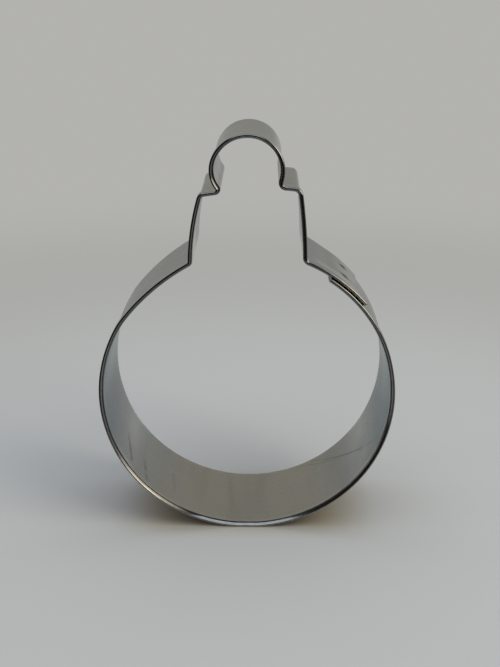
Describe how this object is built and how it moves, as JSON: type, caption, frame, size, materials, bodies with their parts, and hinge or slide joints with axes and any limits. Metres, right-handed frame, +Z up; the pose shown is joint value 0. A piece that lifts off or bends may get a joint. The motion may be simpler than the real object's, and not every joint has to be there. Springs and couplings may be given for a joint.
{
  "type": "cookie cutter",
  "caption": "Bauble-shaped cookie cutter bent from a hemmed steel strip, with a round body, flared neck and hanging loop, closed by a spot-welded lap seam.",
  "frame": {"origin": "on the floor under the middle of the cutter, which stands on its ball as pictured", "axes": "+Z up from the ball to the hanging loop, +Y from the hemmed safe edge to the cutting edge, +X to the lap seam's shoulder"},
  "size_m": [0.0594, 0.022, 0.0823],
  "materials": {
    "strip_steel": "cold-rolled satin stainless steel with fine grain and light scratches",
    "weld_steel": "dull spot-weld mark with a faint heat tint"
  },
  "bodies": {
    "root": {"band": "strip_steel", "spot_weld_front": "weld_steel", "spot_weld_rear": "weld_steel"}
  },
  "joints": []
}
